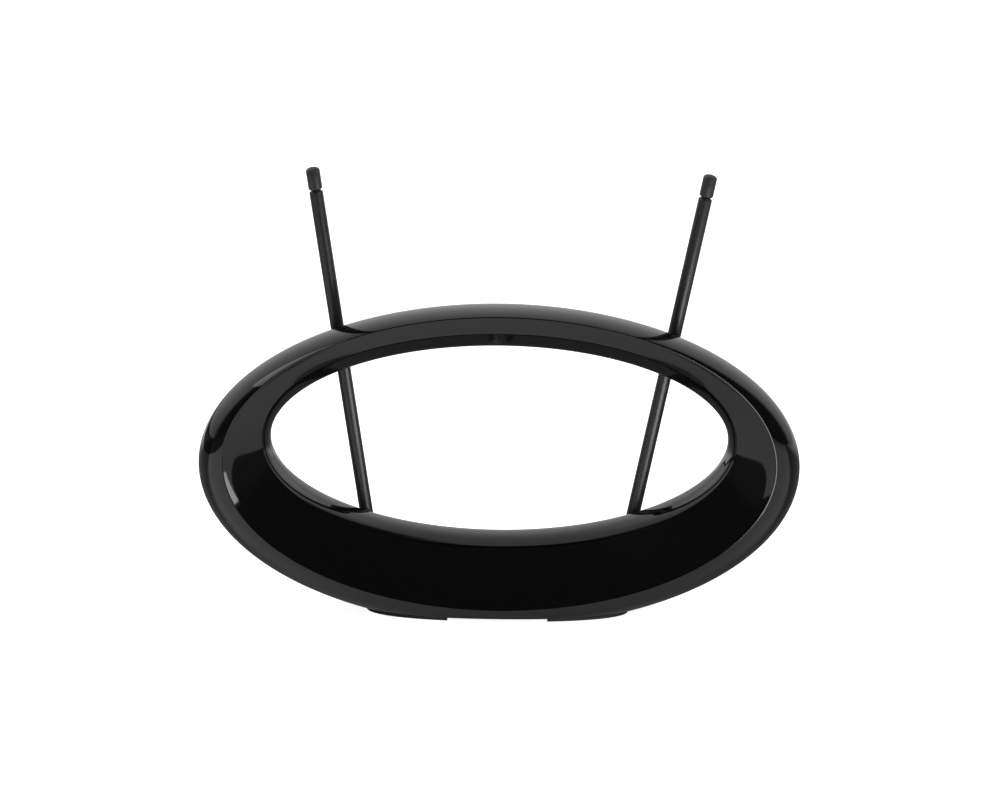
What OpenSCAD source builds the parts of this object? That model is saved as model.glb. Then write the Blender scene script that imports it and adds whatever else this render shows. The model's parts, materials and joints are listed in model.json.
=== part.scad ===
// Indoor television antenna: an upright oval ring on a flat foot, with two telescopic masts behind it.
// X runs to the viewer's right, Y runs from the face to the back and Z runs up.
// The origin lies on the table, under the middle of the whole antenna.

/* [Ring outline] */
// Width of the crisp rim that parts the outer band from the dished face
rim_w = 266.4; // [240:0.2:290]
// Height of that rim
rim_h = 149.7; // [130:0.1:165]
// Reach of the outer band past the rim at the sides
band_side = 13.3; // [10:0.1:16]
// Reach of the outer band past the rim at the top
band_top = 1.9; // [1:0.1:4]
// Reach of the outer band past the rim at the foot
band_foot = 13.8; // [10:0.1:17]
// Width of the dished face at the sides
face_side = 18.6; // [16:0.1:21]
// Width of the dished face at the top
face_top = 9.8; // [9:0.1:12]
// Width of the dished face at the foot
face_foot = 29.2; // [27:0.1:31]
// Reach of the rounded lip into the hole at the sides
lip_side = 3.4; // [2:0.1:6]
// Reach of the rounded lip into the hole at the top
lip_top = 9; // [7:0.1:10]
// Reach of the rounded lip into the hole at the foot
lip_foot = 3.7; // [2:0.1:5]

/* [Ring section] */
// Depth of the ring from its rim to its flat back
ring_d = 29; // [27:0.5:33]
// Depth at which the outer band is widest at the sides and the foot
crest_d = 18.5; // [16:0.5:21]
// Depth at which the outer band is highest at the top
crest_top_d = 12; // [10:0.2:14]
// Depth of the inner edge of the dished face at the sides and the foot
face_d = 8.5; // [7:0.1:10]
// Depth of that edge at the top
face_top_d = 5.6; // [5:0.1:7]
// How far the middle of the face is dished below a straight line
face_dish = 0.7; // [0:0.1:1.2]
// The same at the top
face_top_dish = 0.2; // [0:0.1:0.6]
// Depth at which the hole is narrowest
throat_d = 20; // [18:0.5:22]
// Depth of the joint between the two shells
parting_d = 22; // [21:0.5:24]
// Rounding of the back edges
back_round = 3.6; // [2.5:0.1:4]
// Wall of both shells
wall = 2.2; // [1.6:0.1:2.6]

/* [Foot] */
// Depth of the slice that is cut flat off the foot of the oval
foot_cut = 8.6; // [6.9:0.1:9.9]
// Thickness of the rubber pads
pad_t = 1.5; // [1:0.1:3]
// Gap between the two pads
pad_gap = 49; // [40:1:60]
// Distance of the pads' curved edge from the edge of the flat foot
pad_inset = 0.3; // [0.2:0.1:1.5]
// Margin between the pads and the back of the ring
pad_margin = 2; // [1:0.5:4]

/* [Case screws] */
// Radius of a screw's shank
screw_r = 1.45; // [1.2:0.05:1.6]
// Radius of a screw's head
screw_head_r = 2.7; // [2.4:0.1:2.8]
// Thickness of a screw's head
screw_head_t = 1.9; // [1.5:0.1:2.2]
// Depth of the head below the back of the ring
screw_sink = 0.9; // [0.5:0.1:1.2]
// Radius of the bosses that the screws pull together
boss_r = 3.5; // [3.4:0.1:3.6]
// Clearance round a screw
screw_gap = 0.05; // [0.02:0.01:0.1]
// How much farther from the hole the screws stand at the sides than at the top
screw_side_shift = 4.6; // [3.5:0.1:5]
// How much farther from the hole the screws stand at the foot than at the top
screw_foot_shift = 9; // [8:0.5:10]

/* [Masts] */
// Distance from the middle to each mast's pivot
pivot_x = 62; // [56:0.5:66]
// Height of the pivots above the table
pivot_h = 20.1; // [18.5:0.1:21]
// Outward tilt of the left mast as it stands
tilt_left = 8.2; // [0:0.1:30]
// Outward tilt of the right mast as it stands
tilt_right = 10.65; // [0:0.05:30]
// Length of a closed mast from its pivot to its tip
mast_len = 202; // [150:0.5:260]
// Outer radius of the base tube
tube_r = 3.3; // [3.1:0.05:3.4]
// Wall of every tube
tube_wall = 0.35; // [0.3:0.01:0.4]
// Free space between a tube's bore and the next tube
tube_step = 0.15; // [0.12:0.01:0.18]
// Running clearance at the sliding bushes and crimps
slide_gap = 0.05; // [0.02:0.01:0.08]
// Length of the crimped mouth of a tube
crimp_len = 3; // [2:0.5:5]
// Length of the bush at the foot of a tube
bush_len = 5; // [3:0.5:8]
// Step from the mouth of one tube to the mouth of the next
mouth_step = 0.3; // [0.2:0.05:0.6]
// Step from the foot of one tube to the foot of the next
foot_step = 2; // [1:0.5:4]
// Radius of the cap on a mast's tip
cap_r = 3.35; // [3.2:0.05:3.6]
// Length of that cap
cap_len = 11; // [9:0.5:16]
// Chamfer at the foot of the cap
cap_chamfer = 0.6; // [0.3:0.1:0.9]

/* [Pivots] */
// Gap between the flat faces that turn on each other
face_gap = 0.1; // [0.05:0.01:0.2]
// Height of the raised seat behind the ring on which a mast turns
seat_t = 0.6; // [0.4:0.1:1]
// Radius of that seat
seat_r = 8; // [7.5:0.1:9]
// Thickness of a mast's knuckle, front to back
knuckle_t = 8.8; // [8.7:0.1:9]
// Radius of the knuckle's round barrel
knuckle_r = 7.4; // [7:0.1:8]
// Reach of the knuckle's sleeve up the mast
sleeve_len = 17; // [14:0.5:22]
// Wall of the sleeve round the base tube
sleeve_wall = 0.95; // [0.8:0.05:1]
// Radius of the pivot screw's shank
pivot_r = 2; // [1.8:0.05:2.2]
// Running clearance round the pivot screw
pivot_gap = 0.05; // [0.02:0.01:0.1]
// Radius of the pivot screw's head
pivot_head_r = 4.2; // [3.8:0.1:5]
// Thickness of that head
pivot_head_t = 2; // [1.8:0.1:2.1]
// Thickness of the spring washer under the head
spring_t = 0.6; // [0.4:0.1:0.8]
// Width across the flats of the pivot nut
pivot_nut_af = 7; // [6.5:0.1:8]
// Thickness of the pivot nut
pivot_nut_t = 3.2; // [2.6:0.1:4]
// Thickness of the solder tag under the nut
tag_t = 0.5; // [0.3:0.1:0.8]

/* [Loop and board] */
// Width of the metal loop's strip
strip_w = 4; // [3:0.1:4.4]
// Thickness of the strip
strip_t = 0.6; // [0.4:0.1:1]
// Distance from the outside of the ring to the middle of the strip
strip_inset = 8.2; // [8:0.1:8.8]
// Angle below level at which the strip ends on either side
strip_end = 48; // [40:1:50]
// How much nearer the outside the strip runs at the top
strip_top_shift = 1.2; // [0.8:0.1:1.5]
// How much farther from the outside the strip runs at the foot
strip_foot_shift = 8; // [7:0.5:9]
// Height of the posts that carry the strip above the back's inside
strip_post_h = 3.2; // [2.5:0.1:3.5]
// Width of the circuit board
board_w = 46; // [42:1:48]
// Height of the circuit board
board_h = 24; // [22:0.5:25]
// Thickness of the circuit board
board_t = 1.6; // [1:0.1:2]
// Depth of the board's back face
board_d = 21.1; // [20.6:0.1:21.4]
// Distance from the middle to each board screw
board_screw_x = 18; // [16:0.5:20]
// Outer radius of the ferrite ring
core_r = 6; // [5.5:0.1:6.5]
// Bore radius of the ferrite ring
core_bore = 3; // [2.8:0.1:3.2]
// Length of the ferrite ring
core_len = 5; // [4:0.1:5.5]
// Number of turns of wire on the ferrite ring
core_turns = 10; // [6:1:12]
// Radius of the winding's wire
winding_r = 0.25; // [0.2:0.01:0.3]
// Radius of the leads
lead_r = 0.7; // [0.5:0.05:0.8]

/* [Coaxial jack] */
// Radius of the jack's threaded barrel
jack_r = 4.76; // [4.7:0.01:4.8]
// Reach of the barrel behind the ring
jack_out = 12.5; // [12.5:0.5:16]
// Width of the groove that ends the barrel's thread just outside the nut
jack_groove_w = 0.5; // [0.4:0.1:0.8]
// Depth of that groove
jack_groove_t = 0.4; // [0.3:0.05:0.5]
// Clearance of the barrel in its hole
jack_gap = 0.1; // [0.05:0.01:0.2]
// Bore radius of the barrel
jack_bore = 3.2; // [3:0.05:3.5]
// Width across the flats of the flange inside the case
jack_flange_af = 12; // [11:0.5:13]
// Thickness of that flange
jack_flange_t = 2.4; // [1.5:0.1:2.6]
// Radius of the tail that stands on the board
jack_tail_r = 2.6; // [2:0.1:3]
// Thickness of the lock washer outside
jack_washer_t = 0.6; // [0.4:0.1:1]
// Width across the flats of the nut outside
jack_nut_af = 13; // [12:0.5:15]
// Thickness of that nut
jack_nut_t = 2.4; // [2:0.1:3]
// Radius of the spring contact on the jack's axis
contact_r = 0.9; // [0.8:0.05:1]
// Radius of the hole in that contact
contact_bore = 0.45; // [0.4:0.05:0.5]

/* [Hidden] */

// Smoothness of round parts, and the number of steps round the oval
$fn = 48;
ring_steps = 72;
// Small overlap that lets joined solids merge or a cut pass right through
eps = 0.5;

// Place of the ring in the antenna's own frame
total_d = ring_d + jack_out;
rim_z = pad_t + rim_h / 2 + band_foot - foot_cut;
left = -1;
right = 1;
black = [0.03, 0.03, 0.03];

// One direction across the ring: rim reach, band, crest depth, face, lip, face depth and dish
SIDE = [rim_w / 2, band_side, crest_d, face_side, lip_side, face_d, face_dish];
TOP = [rim_h / 2, band_top, crest_top_d, face_top, lip_top, face_top_d, face_top_dish];
FOOT = [rim_h / 2, band_foot, crest_d, face_foot, lip_foot, face_d, face_dish];
outer_floor = foot_cut - rim_h / 2 - band_foot;
inner_floor = outer_floor + wall;

// Radius of the arc that rises by h over the depth d and ends level
function arc_radius(h, d) = (d * d + h * h) / (2 * h);
// Fall of an arc of radius r at the distance d from its crest
function arc_fall(r, d) = r - sqrt(r * r - d * d);
// Reach of the outer band at the depth w, and of the hole's wall
function band_at(p, w) = p[0] + p[1] - arc_fall(arc_radius(p[1], p[2]), w - p[2]);
function hole_at(p, w) =
    p[0] - p[3] - p[4] + arc_fall(arc_radius(p[4], throat_d - p[5]), w - throat_d);
// A point of the dished face, from the rim at t = 0 to the lip at t = 1
function face_at(p, t) = [p[0] - p[3] * t, p[5] * t + p[6] * 4 * t * (1 - t)];

// Outline of the front shell in one direction, from the joint outside to the joint in the hole
band_steps = 9;
face_steps = 4;
lip_steps = 6;
function front_skin(p) = concat(
    [for (i = [band_steps:-1:0]) let (w = parting_d * pow(i / band_steps, 2)) [band_at(p, w), w]],
    [for (i = [1:face_steps - 1]) face_at(p, i / face_steps)],
    [for (i = [0:lip_steps]) let (w = p[5] + (parting_d - p[5]) * i / lip_steps) [hole_at(p, w), w]]
);
// The inside of the front shell follows the outline at these of its points, a wall's thickness in
front_last = band_steps + face_steps + lip_steps;
front_picks = [2, 4, 6, band_steps, band_steps + face_steps, front_last - 3];
function inward(a, b) = let (d = b - a) [d[1], -d[0]] / norm(d);
function front_lining(p) = let (s = front_skin(p)) concat(
    [[s[0][0] - wall, parting_d]],
    [for (i = front_picks) s[i] + wall * inward(s[i - 1], s[i + 1])],
    [[s[front_last][0] + wall, parting_d]]
);

// Outline of the rear shell in one direction, from the joint outside to the joint in the hole
corner_steps = 3;
corner_d = ring_d - back_round;
mid_d = (parting_d + corner_d) / 2;
function rear_skin(p) = concat(
    [for (w = [parting_d, mid_d]) [band_at(p, w), w]],
    [for (i = [0:corner_steps]) let (a = 90 * i / corner_steps)
        [band_at(p, corner_d) - back_round * (1 - cos(a)), corner_d + back_round * sin(a)]],
    [for (i = [corner_steps:-1:0]) let (a = 90 * i / corner_steps)
        [hole_at(p, corner_d) + back_round * (1 - cos(a)), corner_d + back_round * sin(a)]],
    [for (w = [mid_d, parting_d]) [hole_at(p, w), w]]
);
function rear_lining(p) = [
    [band_at(p, parting_d) - wall, parting_d],
    [band_at(p, corner_d) - wall, corner_d],
    [band_at(p, corner_d) - back_round, ring_d - wall],
    [hole_at(p, corner_d) + back_round, ring_d - wall],
    [hole_at(p, corner_d) + wall, corner_d],
    [hole_at(p, parting_d) + wall, parting_d]
];

// A rail is one such point in the three directions, with the lowest level it may reach
function rails(s, t, f, floor_z) = [for (i = [0:len(s) - 1]) [s[i], t[i], f[i], floor_z]];
function reversed(list) = [for (i = [len(list) - 1:-1:0]) list[i]];
// The place of a rail at the angle a: an oval whose upper and lower halves share one ellipse
function rail_point(r, a) = let (
    up = r[1][0],
    down = r[2][0],
    z = (up - down) / 2 + (up + down) / 2 * sin(a),
    w = r[0][1] * pow(cos(a), 2) + (sin(a) > 0 ? r[1][1] : r[2][1]) * pow(sin(a), 2)
) [r[0][0] * cos(a), w, max(z, r[3])];

// Everything inside is drawn with X across, Y as depth behind the rim and Z from the rim's centre
module in_ring() {
    translate([0, -total_d / 2, rim_z])
        children();
}

// A closed section carried round the oval
module oval_loft(section) {
    n = len(section);
    polyhedron(
        points = [for (j = [0:ring_steps - 1]) for (r = section) rail_point(r, 360 * j / ring_steps)],
        faces = [for (j = [0:ring_steps - 1]) for (i = [0:n - 1])
            let (
                a = j * n + i,
                b = j * n + (i + 1) % n,
                c = ((j + 1) % ring_steps) * n + (i + 1) % n,
                d = ((j + 1) % ring_steps) * n + i
            )
            each [[a, b, c], [a, c, d]]]
    );
}

// A round solid along the depth, from one depth to another
module depth_pin(x, z, r, from, to) {
    translate([x, from, z])
        rotate([-90, 0, 0])
            cylinder(h = to - from, r = r);
}

// A hexagon along the depth, given across its flats
module depth_hex(x, z, af, from, to) {
    translate([x, from, z])
        rotate([-90, 0, 0])
            cylinder(h = to - from, r = af / sqrt(3), $fn = 6);
}

// Screws that hold the shells: angle round the oval and depth at which the front boss starts
boss_inset = boss_r + wall + 0.5;
case_screw_spots = [[90, 13], [25, 10.5], [155, 10.5], [205, 7.2], [335, 7.2], [254, 7.2], [286, 7.2]];
screw_oval = [
    (SIDE[0] - SIDE[3] - SIDE[4] + boss_inset + screw_side_shift),
    (TOP[0] - TOP[3] - TOP[4] + boss_inset),
    (FOOT[0] - FOOT[3] - FOOT[4] + boss_inset + screw_foot_shift)
];
function oval_spot(o, a) = [o[0] * cos(a), (o[1] - o[2]) / 2 + (o[1] + o[2]) / 2 * sin(a)];
head_seat_d = ring_d - screw_sink - screw_head_t;
pilot_wall = 3;

// Middle line of the metal loop, and the posts that carry it
loop_oval = [
    SIDE[0] + SIDE[1] - strip_inset,
    TOP[0] + TOP[1] - strip_inset + strip_top_shift,
    FOOT[0] + FOOT[1] - strip_inset - strip_foot_shift
];
strip_back_d = ring_d - wall - strip_post_h;
loop_post_angles = [90, 45, 0, -40, 135, 180, 220];
loop_post_r = 1.6;

// Places on the lower arc, measured from the rim's centre
pivot_z = pivot_h - rim_z;
foot_middle = pivot_z - 1;
board_screw_z = foot_middle + board_h / 2 - 5;
seat_d = ring_d + seat_t;
knuckle_d = seat_d + face_gap;
mast_d = knuckle_d + knuckle_t / 2;
spring_d = knuckle_d + knuckle_t + face_gap;
pivot_head_d = spring_d + spring_t + face_gap;
jack_flange_d = ring_d - wall - jack_flange_t;
jack_groove_d = ring_d + jack_washer_t + jack_nut_t + 0.2;
jack_thread_d = jack_groove_d + jack_groove_w;
jack_groove_r = jack_r - jack_groove_t;

module front_shell() {
    section = concat(
        rails(front_skin(SIDE), front_skin(TOP), front_skin(FOOT), outer_floor),
        reversed(rails(front_lining(SIDE), front_lining(TOP), front_lining(FOOT), inner_floor))
    );
    color(black)
        in_ring()
            difference() {
                union() {
                    oval_loft(section);
                    for (s = case_screw_spots)
                        let (o = oval_spot(screw_oval, s[0]))
                            depth_pin(o[0], o[1], boss_r, s[1], parting_d);
                }
                for (s = case_screw_spots)
                    let (o = oval_spot(screw_oval, s[0]))
                        depth_pin(o[0], o[1], screw_r + screw_gap, s[1] + pilot_wall, parting_d + eps);
            }
}

module rear_shell() {
    section = concat(
        rails(rear_lining(SIDE), rear_lining(TOP), rear_lining(FOOT), inner_floor),
        reversed(rails(rear_skin(SIDE), rear_skin(TOP), rear_skin(FOOT), outer_floor))
    );
    color(black)
        in_ring()
            difference() {
                union() {
                    oval_loft(section);
                    for (s = case_screw_spots)
                        let (o = oval_spot(screw_oval, s[0]))
                            depth_pin(o[0], o[1], boss_r, parting_d, ring_d - eps);
                    for (a = loop_post_angles)
                        let (o = oval_spot(loop_oval, a))
                            depth_pin(o[0], o[1], loop_post_r, strip_back_d, ring_d - wall + eps);
                    for (x = [-board_screw_x, board_screw_x])
                        depth_pin(x, board_screw_z, boss_r, board_d, ring_d - wall + eps);
                    for (x = [-pivot_x, pivot_x]) {
                        depth_pin(x, pivot_z, seat_r - 2, parting_d, ring_d - eps);
                        depth_pin(x, pivot_z, seat_r, ring_d - eps, seat_d);
                    }
                }
                for (s = case_screw_spots)
                    let (o = oval_spot(screw_oval, s[0])) {
                        depth_pin(o[0], o[1], screw_r + screw_gap, parting_d - eps, ring_d + eps);
                        depth_pin(o[0], o[1], screw_head_r + 2 * screw_gap, head_seat_d, ring_d + eps);
                    }
                for (x = [-board_screw_x, board_screw_x])
                    depth_pin(x, board_screw_z, screw_r + screw_gap, board_d - eps, ring_d - wall);
                for (x = [-pivot_x, pivot_x])
                    depth_pin(x, pivot_z, pivot_r + pivot_gap, parting_d - eps, seat_d + eps);
                depth_pin(0, foot_middle, jack_r + jack_gap, parting_d, ring_d + eps);
            }
}

// Half the length of the flat foot at the depth w
function flat_reach(w) = let (
    up = band_at(TOP, w),
    down = band_at(FOOT, w),
    lean = ((up - down) / 2 - outer_floor) / ((up + down) / 2)
) band_at(SIDE, w) * sqrt(1 - lean * lean);
// A crescent of rubber that follows the edge of the flat foot, squared at its inner end
module foot_pad(side) {
    // Depth at which the flat starts on the middle line
    arc_r = arc_radius(band_foot, crest_d);
    flat_d = crest_d - sqrt(arc_r * arc_r - pow(arc_r - foot_cut, 2));
    back_d = ring_d - pad_margin;
    steps = 16;
    edge = [for (i = [0:steps]) let (w = flat_d + (back_d - flat_d) * pow(i / steps, 1.6))
        [flat_reach(w + 0.001) - pad_inset, w + pad_inset * (1 - i / steps)]];
    color([0.05, 0.05, 0.05])
        translate([0, -total_d / 2, 0])
            mirror([side < 0 ? 1 : 0, 0, 0])
                linear_extrude(pad_t)
                    intersection() {
                        polygon(concat([[0, flat_d + pad_inset], [0, back_d]], reversed(edge)));
                        translate([pad_gap / 2, 0])
                            square([rim_w / 2, ring_d]);
                    }
}

module pan_screw(x, z, r, head_r, head_t, seat_at, tip) {
    difference() {
        union() {
            depth_pin(x, z, r, tip, seat_at + eps);
            depth_pin(x, z, head_r, seat_at, seat_at + head_t);
        }
        for (a = [0, 90])
            translate([x, seat_at + head_t, z])
                rotate([0, a, 0])
                    cube([head_r * 1.1, head_t, head_r * 0.25], center = true);
    }
}

module case_screws() {
    color([0.12, 0.12, 0.12])
        in_ring()
            for (s = case_screw_spots)
                let (o = oval_spot(screw_oval, s[0]))
                    pan_screw(o[0], o[1], screw_r, screw_head_r, screw_head_t, head_seat_d,
                              s[1] + pilot_wall + 1);
}

// The open metal loop that receives the higher band
module loop_element() {
    angles = [for (i = [0:48]) -strip_end + (180 + 2 * strip_end) * i / 48];
    inner = [for (v = loop_oval) v - strip_w / 2];
    outer = [for (v = loop_oval) v + strip_w / 2];
    color([0.8, 0.8, 0.82])
        in_ring()
            translate([0, strip_back_d, 0])
                rotate([90, 0, 0])
                    linear_extrude(strip_t)
                        polygon(concat(
                            [for (a = angles) oval_spot(outer, a)],
                            reversed([for (a = angles) oval_spot(inner, a)])
                        ));
}

// A round wire swept along a list of points that runs mostly across
module wire(path, r) {
    sides = 8;
    n = len(path);
    points = [for (i = [0:n - 1])
        let (
            t = path[min(i + 1, n - 1)] - path[max(i - 1, 0)],
            d = t / norm(t),
            u = cross(d, [0, 1, 0]) / norm(cross(d, [0, 1, 0])),
            v = cross(u, d)
        )
        for (k = [0:sides - 1]) path[i] + r * (cos(360 * k / sides) * u + sin(360 * k / sides) * v)];
    faces = concat(
        [[for (k = [0:sides - 1]) k]],
        [for (i = [0:n - 2]) for (k = [0:sides - 1])
            let (
                a = i * sides + k,
                b = i * sides + (k + 1) % sides
            )
            each [[a, a + sides, b + sides], [a, b + sides, b]]],
        [[for (k = [sides - 1:-1:0]) (n - 1) * sides + k]]
    );
    polyhedron(points = points, faces = faces);
}

// Leads from the ends of the loop, under the pivots, to the board
board_front_d = board_d - board_t;
loop_end = oval_spot(loop_oval, -strip_end);
lead_low = foot_middle - board_h / 2 + 1.5;
loop_lead_path = [
    [loop_end[0] - 1.6, strip_back_d - strip_t - lead_r - 0.05, loop_end[1] - 1],
    [84, 18.5, -60],
    [74, 15, -67],
    [62, 14, -70.5],
    [46, 14.5, lead_low],
    [32, 15.5, lead_low],
    [board_w / 2 - 1, board_front_d - lead_r - 0.05, lead_low]
];
module loop_leads() {
    color([0.5, 0.1, 0.08])
        in_ring()
            for (side = [left, right])
                mirror([side < 0 ? 1 : 0, 0, 0])
                    wire(loop_lead_path, lead_r);
}

// Leads from the solder tags of the masts to the board
tag_tail = 4.5;
mast_lead_path = [
    [pivot_x - pivot_r - 2 - tag_tail + 1, parting_d - tag_t - lead_r - 0.05, pivot_z],
    [50, 19.5, -63],
    [42, 18.2, -66],
    [32, 17.6, -67.5],
    [board_w / 2 - 1.5, board_front_d - lead_r - 0.05, lead_low + 4]
];
module mast_leads() {
    color([0.1, 0.1, 0.1])
        in_ring()
            for (side = [left, right])
                mirror([side < 0 ? 1 : 0, 0, 0])
                    wire(mast_lead_path, lead_r);
}

module circuit_board() {
    color([0.08, 0.3, 0.14])
        in_ring()
            difference() {
                translate([-board_w / 2, board_front_d, foot_middle - board_h / 2])
                    cube([board_w, board_t, board_h]);
                for (x = [-board_screw_x, board_screw_x])
                    depth_pin(x, board_screw_z, screw_r + screw_gap, board_front_d - eps, board_d + eps);
                depth_pin(0, foot_middle, contact_r + screw_gap, board_front_d - eps, board_d + eps);
            }
}

module board_screws() {
    color([0.7, 0.7, 0.72])
        in_ring()
            for (x = [-board_screw_x, board_screw_x])
                translate([0, 2 * board_front_d, 0])
                    mirror([0, 1, 0])
                        pan_screw(x, board_screw_z, screw_r, screw_head_r, screw_head_t, board_front_d,
                                  2 * board_front_d - board_d - 4);
}

// Ferrite ring of the matching transformer, wound with wire and standing on its turns
core_half = (core_r - core_bore) / 2;
turn_r = norm([core_half, core_len / 2]) + winding_r + 0.05;
core_mid_d = board_front_d - turn_r - winding_r - 0.05;
module ferrite_core() {
    color([0.22, 0.22, 0.23])
        in_ring()
            difference() {
                depth_pin(0, foot_middle, core_r, core_mid_d - core_len / 2, core_mid_d + core_len / 2);
                depth_pin(0, foot_middle, core_bore, core_mid_d - core_len, core_mid_d + core_len);
            }
}

module core_winding() {
    color([0.7, 0.36, 0.16])
        in_ring()
            translate([0, core_mid_d, foot_middle])
                for (i = [0:core_turns - 1])
                    rotate([0, 360 * i / core_turns, 0])
                        translate([core_bore + core_half, 0, 0])
                            rotate_extrude($fn = 32)
                                translate([turn_r, 0])
                                    circle(r = winding_r, $fn = 16);
}

module coax_jack() {
    color([0.78, 0.78, 0.76])
        in_ring()
            difference() {
                union() {
                    depth_pin(0, foot_middle, jack_r, jack_thread_d, total_d);
                    depth_pin(0, foot_middle, jack_groove_r, jack_groove_d - eps, jack_thread_d + eps);
                    depth_pin(0, foot_middle, jack_r, ring_d - wall - eps, jack_groove_d);
                    depth_hex(0, foot_middle, jack_flange_af, jack_flange_d, ring_d - wall);
                    depth_pin(0, foot_middle, jack_tail_r, board_d, jack_flange_d + eps);
                }
                depth_pin(0, foot_middle, jack_bore, ring_d, total_d + eps);
                depth_pin(0, foot_middle, contact_r + 0.4, board_d - eps, ring_d + eps);
            }
}

module jack_insulator() {
    color([0.92, 0.92, 0.9])
        in_ring()
            difference() {
                depth_pin(0, foot_middle, jack_bore - 0.02, ring_d, total_d - 0.3);
                depth_pin(0, foot_middle, contact_r + 0.02, ring_d - eps, total_d - 1);
                depth_pin(0, foot_middle, contact_bore, ring_d, total_d);
            }
}

module jack_contact() {
    color([0.85, 0.66, 0.3])
        in_ring()
            difference() {
                depth_pin(0, foot_middle, contact_r, board_front_d - 0.6, total_d - 1.1);
                depth_pin(0, foot_middle, contact_bore, ring_d, total_d);
            }
}

module jack_washer() {
    color([0.75, 0.75, 0.75])
        in_ring()
            difference() {
                depth_pin(0, foot_middle, jack_nut_af / 2 + 1, ring_d, ring_d + jack_washer_t);
                depth_pin(0, foot_middle, jack_r + jack_gap, ring_d - eps, ring_d + jack_washer_t + eps);
                for (i = [0:11])
                    translate([0, ring_d, foot_middle])
                        rotate([0, 30 * i, 0])
                            translate([jack_nut_af / 2 + 1, 0, 0])
                                cube([1.6, 3, 0.8], center = true);
            }
}

module jack_nut() {
    nut_d = ring_d + jack_washer_t;
    color([0.8, 0.8, 0.78])
        in_ring()
            difference() {
                depth_hex(0, foot_middle, jack_nut_af, nut_d, nut_d + jack_nut_t);
                depth_pin(0, foot_middle, jack_r + 0.02, nut_d - eps, nut_d + jack_nut_t + eps);
            }
}

// What stays with the case at each pivot
module pivot_screw(side) {
    color([0.14, 0.14, 0.14])
        in_ring()
            pan_screw(side * pivot_x, pivot_z, pivot_r, pivot_head_r, pivot_head_t, pivot_head_d,
                      parting_d - tag_t - pivot_nut_t - 0.8);
}

module pivot_nut(side) {
    nut_back_d = parting_d - tag_t;
    color([0.75, 0.75, 0.72])
        in_ring()
            difference() {
                depth_hex(side * pivot_x, pivot_z, pivot_nut_af, nut_back_d - pivot_nut_t, nut_back_d);
                depth_pin(side * pivot_x, pivot_z, pivot_r + 0.02, 0, ring_d);
            }
}

module solder_tag(side) {
    color([0.8, 0.74, 0.5])
        in_ring()
            difference() {
                union() {
                    depth_pin(side * pivot_x, pivot_z, pivot_r + 2, parting_d - tag_t, parting_d);
                    translate([side * (pivot_x - pivot_r - 2 - tag_tail / 2), parting_d - tag_t / 2, pivot_z])
                        cube([tag_tail + 1, tag_t, 2.4], center = true);
                }
                depth_pin(side * pivot_x, pivot_z, pivot_r + pivot_gap, 0, ring_d);
            }
}

module spring_washer(side) {
    color([0.6, 0.6, 0.62])
        in_ring()
            difference() {
                depth_pin(side * pivot_x, pivot_z, pivot_head_r - 0.3, spring_d, spring_d + spring_t);
                depth_pin(side * pivot_x, pivot_z, pivot_r + pivot_gap, 0, total_d);
            }
}

// A mast is drawn along +Z from its pivot and then tilted outwards
module in_mast(side) {
    in_ring()
        translate([side * pivot_x, 0, pivot_z])
            rotate([0, side * (side < 0 ? tilt_left : tilt_right), 0])
                children();
}

tube_foot = 6.5;
neck = 3 * mouth_step;
base_mouth = mast_len - cap_len - neck;
function tube_radius(i) = tube_r - i * (tube_wall + tube_step);
function tube_mouth(i) = base_mouth + i * mouth_step;
function tube_start(i) = tube_foot + 1 + i * foot_step;

module knuckle(side) {
    sleeve_r = tube_r + sleeve_wall;
    color([0.04, 0.04, 0.04])
        in_mast(side)
            difference() {
                union() {
                    depth_pin(0, 0, knuckle_r, knuckle_d, knuckle_d + knuckle_t);
                    translate([0, mast_d, 0])
                        cylinder(h = sleeve_len - 0.6, r = sleeve_r);
                    translate([0, mast_d, sleeve_len - 0.6])
                        cylinder(h = 0.6, r1 = sleeve_r, r2 = sleeve_r - 0.6);
                }
                depth_pin(0, 0, pivot_r + pivot_gap, knuckle_d - eps, knuckle_d + knuckle_t + eps);
                translate([0, mast_d, tube_foot])
                    cylinder(h = sleeve_len, r = tube_r + 0.02);
            }
}

// One tube of a mast: a bush at its foot, a bore and a mouth crimped on the next tube
module mast_tube(i, side) {
    r = tube_radius(i);
    from = i == 0 ? tube_foot + 0.05 : tube_start(i);
    mouth = tube_mouth(i);
    bore = r - tube_wall;
    inner_r = tube_radius(i + 1) + slide_gap;
    round_r = min(0.9, r - tube_radius(i + 1) + 0.3);
    color([0.06, 0.06, 0.06])
        in_mast(side)
            translate([0, mast_d, 0])
                rotate_extrude()
                    polygon(concat(
                        [[bore, from], [i == 0 ? r : r + tube_step - slide_gap, from]],
                        i == 0 ? [] : [[r + tube_step - slide_gap, from + bush_len], [r, from + bush_len]],
                        [for (a = [0:15:75])
                            [r - round_r * (1 - cos(a)) * 0.6, mouth - round_r * (1 - sin(a))]],
                        [[inner_r, mouth], [inner_r, mouth - crimp_len], [bore, mouth - crimp_len - 0.4]]
                    ));
}

module top_tube(side) {
    r = tube_radius(3);
    color([0.06, 0.06, 0.06])
        in_mast(side)
            translate([0, mast_d, 0])
                rotate_extrude()
                    polygon([
                        [r - tube_wall, tube_start(3)],
                        [r + tube_step - slide_gap, tube_start(3)],
                        [r + tube_step - slide_gap, tube_start(3) + bush_len],
                        [r, tube_start(3) + bush_len],
                        [r, mast_len - 3],
                        [r - tube_wall, mast_len - 3]
                    ]);
}

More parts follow.
